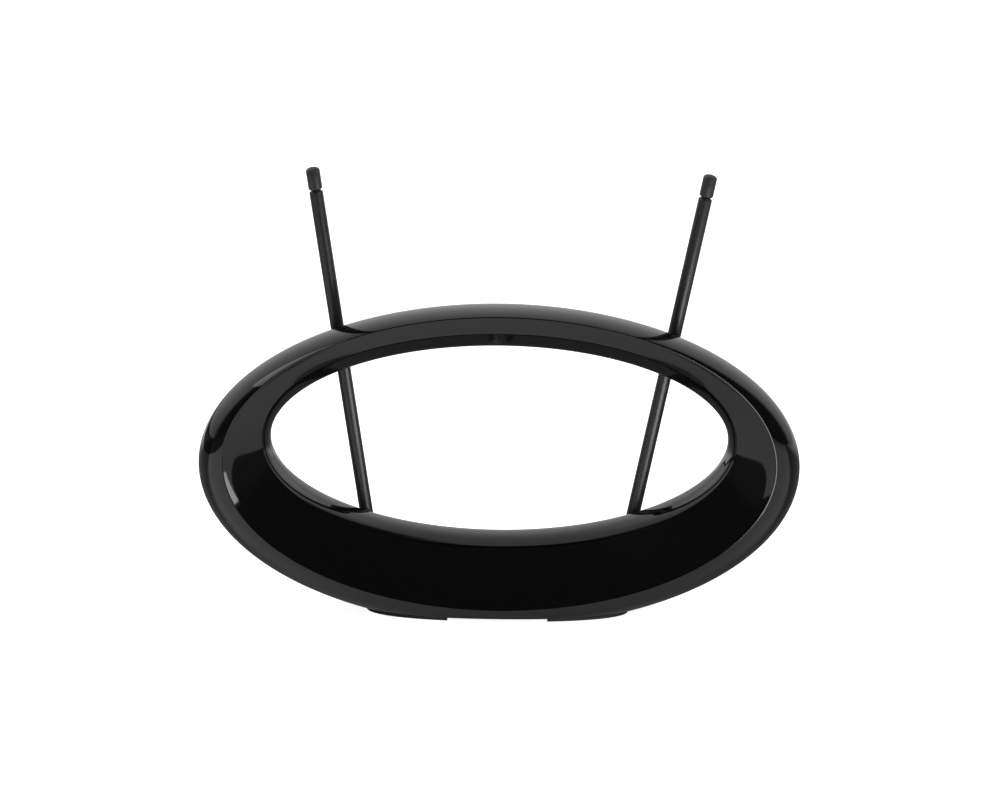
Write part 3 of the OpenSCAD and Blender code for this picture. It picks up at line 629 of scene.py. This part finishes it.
def thread_tree(sizes):
    """A sharp ridge that winds along +Y from each point."""
    tree, enter, leave = size_tree("Jack thread", sizes)
    size = enter.outputs
    spiral = first(tree, "GeometryNodeCurveSpiral", Resolution=48,
                   Rotations=math_node(tree, "DIVIDE", size["Length"], size["Pitch"]),
                   Start_Radius=size["Root Radius"], End_Radius=size["Root Radius"], Height=size["Length"])
    upright = add(tree, "GeometryNodeSetCurveNormal", mode="Z_UP")
    tree.links.new(spiral, upright.inputs["Curve"])
    ridge = first(tree, "GeometryNodeCurvePrimitiveCircle", Resolution=4, Radius=1.0)
    half = math_node(tree, "MULTIPLY", size["Pitch"], 0.47)
    shaped = first(tree, "GeometryNodeTransform", Geometry=ridge,
                   Scale=point_at(tree, size["Ridge Height"], half, 1.0))
    wound = first(tree, "GeometryNodeCurveToMesh", Curve=upright.outputs[0], Profile_Curve=shaped,
                  Fill_Caps=True)
    spread = first(tree, "GeometryNodeInstanceOnPoints", Points=size["Geometry"], Instance=wound,
                   Rotation=TOWARDS_BACK)
    close_tree(tree, enter, leave, spread)
    return tree


def winding_tree(sizes):
    """Turns of round wire that pass through a ring core's bore, about +Y at each point."""
    tree, enter, leave = size_tree("Core winding", sizes)
    size = enter.outputs
    loop = first(tree, "GeometryNodeCurvePrimitiveCircle", Resolution=48, Radius=size["Turn Radius"])
    wire = first(tree, "GeometryNodeCurvePrimitiveCircle", Resolution=12, Radius=size["Wire Radius"])
    turn = first(tree, "GeometryNodeCurveToMesh", Curve=loop, Profile_Curve=wire)
    upright = first(tree, "GeometryNodeTransform", Geometry=turn, Rotation=(math.pi / 2, 0.0, 0.0))
    circle = first(tree, "GeometryNodeMeshCircle", Vertices=size["Turns"], Radius=size["Ring Radius"])
    radial = add(tree, "FunctionNodeAlignEulerToVector", axis="X", pivot_axis="Z")
    tree.links.new(add(tree, "GeometryNodeInputPosition").outputs[0], radial.inputs["Vector"])
    placed = first(tree, "GeometryNodeInstanceOnPoints", Points=circle, Instance=upright,
                   Rotation=radial.outputs[0])
    spread = first(tree, "GeometryNodeInstanceOnPoints", Points=size["Geometry"], Instance=placed,
                   Rotation=TOWARDS_BACK)
    close_tree(tree, enter, leave, spread)
    return tree


class ANTENNA_OT_finishes(bpy.types.Operator):
    """Make the shader groups and the materials"""

    bl_idname = "antenna.finishes"
    bl_label = "Finishes"

    def execute(self, context):
        look = context.scene.antenna_colours
        moulded_skin_group()
        fine_grain_group()
        surface("Gloss case", "Moulded skin", {"Roughness": 0.035, "Haze": 0.03, "Wave": 0.02, "Dust": 0.25},
                look.case, ior=1.46)
        metal, hard = {"metallic": 1.0}, {"ior": 1.5}
        for name, tint, grain, worn, options in (
            ("Satin mast", look.mast, (700.0, 0.06, 0.36, 0.1), (0.05, (0.04, 0.04, 0.04)), hard),
            ("Matt cap", look.cap, (1200.0, 0.12, 0.42, 0.08), None, {}),
            ("Pad rubber", look.pad, (1500.0, 0.2, 0.62, 0.12), None, {}),
            ("Black casting", (0.01, 0.01, 0.0105), (1000.0, 0.15, 0.38, 0.1), (0.08, (0.05, 0.05, 0.05)),
             hard),
            ("Blackened steel", (0.055, 0.055, 0.06), (1400.0, 0.08, 0.36, 0.15), (0.25, (0.22, 0.21, 0.2)),
             {"metallic": 0.9}),
            ("Zinc steel", look.steel, (900.0, 0.05, 0.3, 0.18), None, metal),
            ("Nickel", look.nickel, (600.0, 0.03, 0.2, 0.12), None, metal),
            ("Spring brass", (0.72, 0.5, 0.2), (700.0, 0.04, 0.26, 0.15), None, metal),
            ("Insulator", (0.74, 0.73, 0.69), (500.0, 0.03, 0.45, 0.06), None, {}),
            ("Strip aluminium", (0.68, 0.68, 0.69), (300.0, 0.05, 0.36, 0.16), None,
             {"metallic": 1.0, "stretch": (1.0, 12.0, 1.0)}),
            ("Red lead", (0.42, 0.03, 0.02), (800.0, 0.04, 0.4, 0.08), None, {}),
            ("Black lead", (0.02, 0.02, 0.02), (800.0, 0.04, 0.4, 0.08), None, {}),
            ("Board lacquer", (0.02, 0.16, 0.055), (400.0, 0.06, 0.3, 0.12), (0.3, (0.05, 0.26, 0.1)), {}),
            ("Ferrite", (0.06, 0.06, 0.062), (1600.0, 0.25, 0.6, 0.15), None, {}),
            ("Copper wire", (0.62, 0.24, 0.09), (500.0, 0.03, 0.25, 0.1), None, metal),
        ):
            values = dict(zip(("Scale", "Depth", "Roughness", "Spread"), grain))
            if worn:
                values.update({"Wear": worn[0], "Worn colour": (*worn[1], 1)})
            surface(name, "Fine grain", values, tint, **options)
        return {"FINISHED"}


class ANTENNA_OT_case(bpy.types.Operator):
    """Build the smooth front and rear shells of the ring"""

    bl_idname = "antenna.case"
    bl_label = "Ring case"

    def execute(self, context):
        ring = context.scene.antenna_ring
        sections = ring_sections(ring)
        depth, wall, joint, rounding = ring.depth / MM, ring.wall / MM, 22.0, 3.6
        gap = ring.joint_gap / MM
        front = shell_mesh(
            ring, [s.front(joint - gap / 2, ring.rim_edge / MM) for s in sections],
            [s.front_lining(joint - gap / 2, wall) for s in sections],
        )
        shell = finish_mesh("front_case", front, "Gloss case", 28.0)
        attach(shell, "housing")
        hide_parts("front_shell")
        rear = shell_mesh(
            ring, [s.rear(joint + gap / 2, depth, rounding) for s in sections],
            [s.rear_lining(joint + gap / 2, depth, rounding, wall) for s in sections],
        )
        back = ring.front_y + ring.depth
        past_back = back + 0.001
        screw_bore, screw_sink, jack_bore, jack_sink = 0.0028, 0.0028, 0.00496, 0.004
        middles = [(low + high) / 2 for low, high in SCREW_HEADS]
        holes = [(m.x, m.z, screw_bore, back - screw_sink, past_back) for m in middles]
        jack = centre_of("jack_nut")
        holes.append((jack.x, jack.z, jack_bore, back - jack_sink, past_back))
        shell = bore(rear, "rear_case", holes)
        shell.data.materials.clear()
        shell.data.materials.append(bpy.data.materials["Gloss case"])
        ledge = self.seats(back)
        for piece in (shell, ledge):
            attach(piece, "housing")
        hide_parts("rear_shell")
        return {"FINISHED"}

    def seats(self, back):
        """The low round ledges on the back that the masts turn on."""
        made = bmesh.new()
        profile = [(0, 0), (0.008, 0), (0.008, 0.0008), (0.00785, 0.00102), (0.0076, 0.0011), (0, 0.0011)]
        sunk = 0.0005
        for side in SIDES:
            pivot = Vector(JOINTS[side + "_tilt"]["pos_m"])
            start = Vector((pivot.x, back - sunk, pivot.z))
            lathe(made, profile, 64, start, start + Vector((0, 1, 0)))
        outward(made)
        return finish_mesh("mast_seats", made, "Gloss case")


class ANTENNA_OT_masts(bpy.types.Operator):
    """Build the smooth base tubes, stages and caps of both masts"""

    bl_idname = "antenna.masts"
    bl_label = "Masts"

    wall, play = 0.00035, 0.00015  # of a tube, and between it and the next one inside

    def execute(self, context):
        mast = context.scene.antenna_masts
        for side in SIDES:
            pivot = Vector(JOINTS[side + "_tilt"]["pos_m"])
            axis = Vector(JOINTS[side + "_second_slide"]["axis"]).normalized()
            for i, part in enumerate(("base_tube", "second_tube", "third_tube")):
                node = f"{side}_{part}"
                piece = turned(node + "_coated", self.tube(mast, i), mast.steps, pivot, axis, "Satin mast",
                               30.0)
                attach(piece, BODY_OF[node])
                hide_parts(node)
            piece = turned(side + "_cap", self.cap(mast), mast.steps, pivot, axis, "Matt cap", 50.0)
            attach(piece, BODY_OF[side + "_tip_cap"])
            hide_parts(side + "_tip_cap")
            for part, material in (
                ("_top_tube", "Satin mast"), ("_knuckle", "Black casting"),
                ("_pivot_screw", "Blackened steel"), ("_spring_washer", "Zinc steel"),
                ("_pivot_nut", "Zinc steel"), ("_solder_tag", "Spring brass"),
            ):
                dress(side + part, material)
        return {"FINISHED"}

    def tube(self, mast, i):
        """Profile of a tube: a bush at its foot, and a mouth rolled in on the next tube at its top."""
        step = self.wall + self.play
        outer = mast.tube_radius - i * step
        inner = outer - self.wall
        cap_gap, stands_out, fit = 0.0009, 0.0003, 0.00005
        top = mast.mast_length - mast.cap_length - cap_gap + i * stands_out
        low = 0.0066 if i == 0 else 0.0075 + i * 0.002
        bush = outer if i == 0 else outer + self.play - fit
        bush_length, mouth_length = 0.005, 0.003
        slide = outer - step + fit
        roll, roll_share = step + 0.0003, 0.6
        profile = [(inner, low), (bush, low)]
        if i:
            profile += [(bush, low + bush_length), (outer, low + bush_length)]
        profile += [(outer - roll * (1 - math.cos(a)) * roll_share, top - roll * (1 - math.sin(a)))
                    for a in (math.radians(d) for d in range(0, 80, 8))]
        return profile + [(slide, top), (slide, top - mouth_length), (inner, top - mouth_length - 0.0004),
                          (inner, low)]

    def cap(self, mast):
        """Profile of a cap: a rounded foot round the neck, straight sides and a domed tip."""
        radius, tip = mast.cap_radius, mast.mast_length
        foot = tip - mast.cap_length
        dome, edge, neck_depth = 0.0018, 0.0006, 0.0029
        neck = mast.tube_radius - 3 * (self.wall + self.play) + 0.00002
        profile = [(neck, foot + 0.0002), (neck + 0.0002, foot), (radius - edge - 0.0001, foot),
                   (radius - edge + 0.0001, foot + 0.00005), (radius - 0.00006, foot + edge - 0.0001),
                   (radius, foot + edge + 0.0001)]
        profile += [(radius * math.cos(a), tip - dome + dome * math.sin(a))
                    for a in (math.radians(d) for d in range(0, 91, 6))]
        return profile + [(0, tip - neck_depth), (neck, tip - neck_depth), (neck, foot + 0.0002)]


class ANTENNA_OT_jack(bpy.types.Operator):
    """Give the coaxial jack its thread and finishes"""

    bl_idname = "antenna.jack"
    bl_label = "Coaxial jack"

    def execute(self, context):
        jack = context.scene.antenna_jack
        ring = context.scene.antenna_ring
        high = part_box("coax_jack")[1]
        middle = centre_of("coax_jack")
        chamfer, relief, shoulder = 0.0002, 0.0005, 0.0022
        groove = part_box("jack_nut")[1].y + chamfer
        start = groove + relief
        root, crest, hollow = jack.thread_radius - jack.thread_depth, jack.thread_radius, jack.bore_radius
        back = ring.front_y + ring.depth
        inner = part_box("jack_washer")[0].y - shoulder
        profile = [(hollow, back), (hollow, high.y - 0.0003), (hollow + 0.0003, high.y),
                   (root - chamfer, high.y), (root, high.y - chamfer), (root, groove), (crest, groove),
                   (crest, inner), (0.0, inner), (0.0, back), (hollow, back)]
        barrel = turned("jack_barrel", [(r, y - inner) for r, y in profile], 64,
                        Vector((middle.x, inner, middle.z)), Vector((0, 1, 0)), "Nickel", 30.0)
        run = high.y - start - jack.thread_pitch * 1.1
        ridge = grow("jack_thread", thread_tree, [(middle.x, start + jack.thread_pitch * 0.5, middle.z)], {
            "Root Radius": root, "Ridge Height": jack.thread_depth, "Pitch": jack.thread_pitch, "Length": run,
        }, "Nickel", 50.0)
        for piece in (barrel, ridge):
            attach(piece, "housing")
        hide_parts("coax_jack")
        dress("jack_nut", "Nickel")
        dress("jack_washer", "Zinc steel")
        dress("jack_insulator", "Insulator")
        dress("jack_contact", "Spring brass")
        return {"FINISHED"}


class ANTENNA_OT_small_parts(bpy.types.Operator):
    """Finish the pads, screws, loop, board and leads"""

    bl_idname = "antenna.small_parts"
    bl_label = "Pads, screws and inner parts"

    def execute(self, context):
        for node, material in (
            ("left_foot_pad", "Pad rubber"), ("right_foot_pad", "Pad rubber"),
            ("loop_element", "Strip aluminium"), ("loop_leads", "Red lead"), ("mast_leads", "Black lead"),
            ("circuit_board", "Board lacquer"), ("board_screws", "Zinc steel"), ("ferrite_core", "Ferrite"),
        ):
            dress(node, material)
        return {"FINISHED"}


class ANTENNA_OT_screws(bpy.types.Operator):
    """Build the case screws with their cross recesses"""

    bl_idname = "antenna.screws"
    bl_label = "Case screws"

    def execute(self, context):
        screw = context.scene.antenna_screws
        seats = [high.y - screw.head_height for low, high in SCREW_HEADS]
        places = [((low.x + high.x) / 2, y, (low.z + high.z) / 2)
                  for y, (low, high) in zip(seats, SCREW_HEADS)]
        piece = grow("cross_head_screws", screw_tree, places, {
            "Head Radius": screw.head_radius, "Head Height": screw.head_height,
            "Shank Radius": screw.shank_radius, "Recess Length": screw.recess_length,
            "Recess Width": screw.recess_width, "Recess Depth": screw.recess_depth,
        }, "Blackened steel", lengths=[y - low.y for y, (low, high) in zip(seats, SCREW_HEADS)])
        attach(piece, "housing")
        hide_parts("case_screws")
        return {"FINISHED"}


class ANTENNA_OT_winding(bpy.types.Operator):
    """Wind the matching transformer's core"""

    bl_idname = "antenna.winding"
    bl_label = "Core winding"

    def execute(self, context):
        wire = context.scene.antenna_winding
        half = (wire.core_radius - wire.core_bore) / 2
        clear = wire.wire_radius + 0.00005
        piece = grow("wound_wire", winding_tree, [tuple(centre_of("core_winding"))], {
            "Turns": wire.turns, "Wire Radius": wire.wire_radius, "Ring Radius": wire.core_bore + half,
            "Turn Radius": math.hypot(half, wire.core_length / 2) + clear}, "Copper wire", 60.0)
        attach(piece, "housing")
        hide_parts("core_winding")
        return {"FINISHED"}


class ANTENNA_OT_studio(bpy.types.Operator):
    """Set the white studio, its lamps and the camera"""

    bl_idname = "antenna.studio"
    bl_label = "Studio"
    room_glow = 0.05  # of the dark room in what shines
    table_white = 0.82
    floor_share, behind_share = 0.1, 0.2  # of the floor's light, and of the light behind the ring where a shadow of the ring is painted, in the gloss

    def execute(self, context):
        scene = context.scene
        studio = scene.antenna_studio
        scene.view_settings.view_transform = "Standard"
        self.world(scene, studio)
        self.table(scene, studio)
        self.low_card(scene, studio)
        self.lamps(scene)
        self.camera(scene, studio)
        return {"FINISHED"}

    def world(self, scene, studio):
        """White to the camera, a soft backdrop and ceiling in what shines, and a plain light on the rest."""
        world = bpy.data.worlds.new("White studio")
        scene.world = world
        world.use_nodes = True
        tree = world.node_tree
        tree.nodes.clear()
        path = add(tree, "ShaderNodeLightPath").outputs
        direction = add(tree, "ShaderNodeTexCoord").outputs["Generated"]
        height = filled(tree, "ShaderNodeSeparateXYZ", Vector=direction)["Z"]
        square = math_node(tree, "MULTIPLY", height, height)
        level = math_node(tree, "SQRT", math_node(tree, "SUBTRACT", 1.0, square))
        ahead = add(tree, "ShaderNodeVectorMath", operation="DOT_PRODUCT")
        ahead.inputs[1].default_value = (math.sin(studio.backdrop_turn), math.cos(studio.backdrop_turn), 0.0)
        tree.links.new(direction, ahead.inputs[0])
        facing = math_node(tree, "DIVIDE", ahead.outputs["Value"], math_node(tree, "MAXIMUM", level, 0.01))
        narrow = ramp(tree, height, 0.6, 0.95, 0.05, 0.6)
        share = ramp(tree, math_node(tree, "SUBTRACT", facing, narrow), 0.0, 0.28, 0.0, 1.0)
        upper = ramp(tree, height, 0.58, 0.85, 1.0, 0.75)
        lower = ramp(tree, height, 0.0, 0.34, 0.72, 1.0)
        wall = math_node(tree, "MULTIPLY", math_node(tree, "MULTIPLY", upper, lower), studio.backdrop_glow)
        ceiling = ramp(tree, height, 0.93, 0.99, 0.0, studio.ceiling_glow)
        brighter = math_node(tree, "MAXIMUM", math_node(tree, "MULTIPLY", share, wall), ceiling)
        glow = math_node(tree, "ADD", brighter, self.room_glow)
        seen = first(tree, "ShaderNodeBackground", Color=(*studio.backdrop, 1))
        reflected = first(tree, "ShaderNodeBackground", Strength=glow)
        soft = first(tree, "ShaderNodeBackground", Strength=studio.ambient)
        unseen = mix_shaders(tree, path["Is Glossy Ray"], soft, reflected)
        clear = math_node(tree, "MAXIMUM", path["Is Camera Ray"], path["Is Transmission Ray"])
        put(tree, add(tree, "ShaderNodeOutputWorld"), Surface=mix_shaders(tree, clear, unseen, seen))

    def flat(self, scene, name, corners, material):
        mesh = bpy.data.meshes.new(name)
        mesh.from_pydata(corners, [], [tuple(range(len(corners)))])
        mesh.materials.append(material)
        piece = bpy.data.objects.new(name, mesh)
        scene.collection.objects.link(piece)
        return piece

    def table(self, scene, studio):
        """A white table under the antenna and the dim floor of the room round it."""
        notch = scene.antenna_ring.front_y - studio.table_front
        left, right, back, front, far = -studio.table_left, 4.0, 3.0, -3.0, -6.0
        spread, fold = (notch - front) / studio.table_slant, notch + studio.table_slant * left
        for name, corners, share in (
            ("table", ((0, notch), (spread, front), (right, front), (right, back), (left, back),
                       (left, fold)), 1.0),
            ("floor_front", ((0, notch), (left, fold), (left, front), (spread, front)), self.floor_share),
            ("floor_left", ((-right, front), (left, front), (left, back), (-right, back)), self.floor_share),
            ("floor_far", ((-right, far), (right, far), (right, front), (-right, front)), self.floor_share),
        ):
            material = self.floor_material(name, studio, share)
            plane = self.flat(scene, name, [(x, y, 0) for x, y in corners], material)

    def floor_material(self, name, studio, share):
        """Matt white, lifted to clean white for the camera, and dimmed in the gloss by share and place: a painted
        shadow of the ring on the table behind it, and painted light that is stronger on the left.
        """
        material = bpy.data.materials.new(name)
        material.use_nodes = True
        tree = material.node_tree
        tree.nodes.clear()
        path = add(tree, "ShaderNodeLightPath").outputs
        white = (*(c * self.table_white for c in studio.backdrop), 1)
        matt = first(tree, "ShaderNodeBsdfDiffuse", Color=white)
        lift = first(tree, "ShaderNodeEmission", Color=(*studio.backdrop, 1), Strength=studio.table_lift)
        spot = add(tree, "ShaderNodeTexCoord").outputs["Object"]
        place = filled(tree, "ShaderNodeSeparateXYZ", Vector=spot)
        # painted shadow: behind the ring the table is dimmed in the gloss, where the ring's shadow falls
        behind = self.behind_share * share
        share_with_painted_shadow = math_node(tree, "MAXIMUM", ramp(tree, place["Y"], -0.03, 0.01, share, behind),
                        ramp(tree, place["Y"], 0.2, 0.45, behind, share))
        dim = first(tree, "ShaderNodeBsdfDiffuse", Color=math_node(tree, "MULTIPLY", share_with_painted_shadow, self.table_white))
        # painted light: an emission seen only in the gloss, stronger on the left
        painted_light_left = ramp(tree, place["X"], -0.22, 0.05, 0.36, 0.15)
        painted_sheen = first(tree, "ShaderNodeEmission", Strength=math_node(tree, "MULTIPLY", share_with_painted_shadow, painted_light_left))
        lifted, shiny = mix_shaders(tree, None, matt, lift), mix_shaders(tree, None, dim, painted_sheen)
        shown = mix_shaders(tree, path["Is Glossy Ray"], lifted, shiny)
        plain = mix_shaders(tree, path["Is Diffuse Ray"], shown, matt)
        put(tree, add(tree, "ShaderNodeOutputMaterial"), Surface=plain)
        return material

    def low_card(self, scene, studio):
        """A bright card low in front on the right, seen only in the gloss."""
        material = bpy.data.materials.new("low_card")
        material.use_nodes = True
        tree = material.node_tree
        tree.nodes.clear()
        shine = first(tree, "ShaderNodeEmission", Strength=studio.card_glow)
        put(tree, add(tree, "ShaderNodeOutputMaterial"), Surface=shine)
        corners = [(0.175, -0.1, 0.004), (0.098, -0.217, 0.004), (0.043, -0.269, 0.062), (0.175, -0.1, 0.14)]
        card = self.flat(scene, "low_card", corners, material)
        card.visible_camera = card.visible_diffuse = card.visible_shadow = card.visible_transmission = False

    def lamps(self, scene):
        """Two soft boxes that shine in the gloss, and one overhead that only lights."""
        for name, place, aim, size, power, shines in (
            ("left_softbox", (-1.06, -0.05, 1.16), (0, 0, 0.1), (0.8, 0.8), 4.0, True),
            ("right_softbox", (0.82, -0.69, 0.85), (0, 0, 0.15), (0.3, 0.5), 3.0, True),
            ("top_softbox", (0.0, 0.1, 1.3), (0, 0, 0.0), (0.9, 0.7), 6.0, False),
        ):
            lamp = bpy.data.lights.new(name, "AREA")
            lamp.shape = "RECTANGLE"
            lamp.size, lamp.size_y, lamp.energy = size[0], size[1], power
            obj = bpy.data.objects.new(name, lamp)
            obj.location = place
            obj.rotation_euler = (Vector(aim) - Vector(place)).to_track_quat("-Z", "Y").to_euler()
            obj.visible_glossy = shines
            obj.visible_camera = False
            scene.collection.objects.link(obj)

    def camera(self, scene, studio):
        lens = bpy.data.cameras.new("camera")
        lens.lens, lens.sensor_width = studio.lens, 36.0
        lens.clip_start, lens.clip_end = 0.05, 30.0
        camera = bpy.data.objects.new("camera", lens)
        e, d = studio.camera_elevation, studio.camera_distance
        aim = Vector((0.0, -0.00575, 0.11385))
        camera.location = aim + Vector((0, -math.cos(e), math.sin(e))) * d
        turn = (aim - camera.location).to_track_quat("-Z", "Y").to_matrix().to_4x4()
        camera.rotation_euler = (turn @ Matrix.Rotation(studio.camera_roll, 4, "Z")).to_euler()
        scene.collection.objects.link(camera)
        scene.camera = camera


class ANTENNA_PT_panel(bpy.types.Panel):
    bl_label = "Indoor antenna"
    bl_idname = "ANTENNA_PT_panel"
    bl_space_type = "VIEW_3D"
    bl_region_type = "UI"
    bl_category = "Antenna"

    def draw(self, context):
        for group in GROUPS:
            box = self.layout.box()
            settings = getattr(context.scene, group)
            for key in settings.bl_rna.properties.keys():
                if key not in ("rna_type", "name"):
                    box.prop(settings, key)
        for operator in STEPS:
            self.layout.operator(operator.bl_idname)


GROUPS = {
    "antenna_ring": AntennaRing, "antenna_masts": AntennaMasts, "antenna_jack": AntennaJack,
    "antenna_screws": AntennaScrews, "antenna_winding": AntennaWinding,
    "antenna_colours": AntennaColours, "antenna_studio": AntennaStudio,
}
STEPS = (
    ANTENNA_OT_finishes, ANTENNA_OT_case, ANTENNA_OT_masts, ANTENNA_OT_jack, ANTENNA_OT_screws,
    ANTENNA_OT_winding, ANTENNA_OT_small_parts, ANTENNA_OT_studio,
)
BODY_OF = {node: body for body, nodes in frame["record"]["behaviour"]["bodies"].items() for node in nodes}


def screw_heads():
    """Box of each case screw, read from its loose triangles by their place."""
    points = np.array([v.co for v in frame["nodes"]["case_screws"].data.vertices])
    groups = []
    for p in points:
        for group in groups:
            if abs(group[0][0] - p[0]) < 0.006 and abs(group[0][2] - p[2]) < 0.006:
                group.append(p)
                break
        else:
            groups.append([p])
    return [(Vector(np.min(g, axis=0)), Vector(np.max(g, axis=0))) for g in groups]


SCREW_HEADS = screw_heads()


def register():
    for group in GROUPS.values():
        bpy.utils.register_class(group)
    for name, group in GROUPS.items():
        setattr(bpy.types.Scene, name, PointerProperty(type=group))
    for step in STEPS:
        bpy.utils.register_class(step)
    bpy.utils.register_class(ANTENNA_PT_panel)


def unregister():
    bpy.utils.unregister_class(ANTENNA_PT_panel)
    for step in reversed(STEPS):
        bpy.utils.unregister_class(step)
    for name, group in GROUPS.items():
        delattr(bpy.types.Scene, name)
        bpy.utils.unregister_class(group)


def main():
    register()
    for step in STEPS:
        space, name = step.bl_idname.split(".")
        if getattr(getattr(bpy.ops, space), name)() != {"FINISHED"}:
            raise RuntimeError(step.bl_label + " did not finish")


if __name__ == "__main__":
    main()
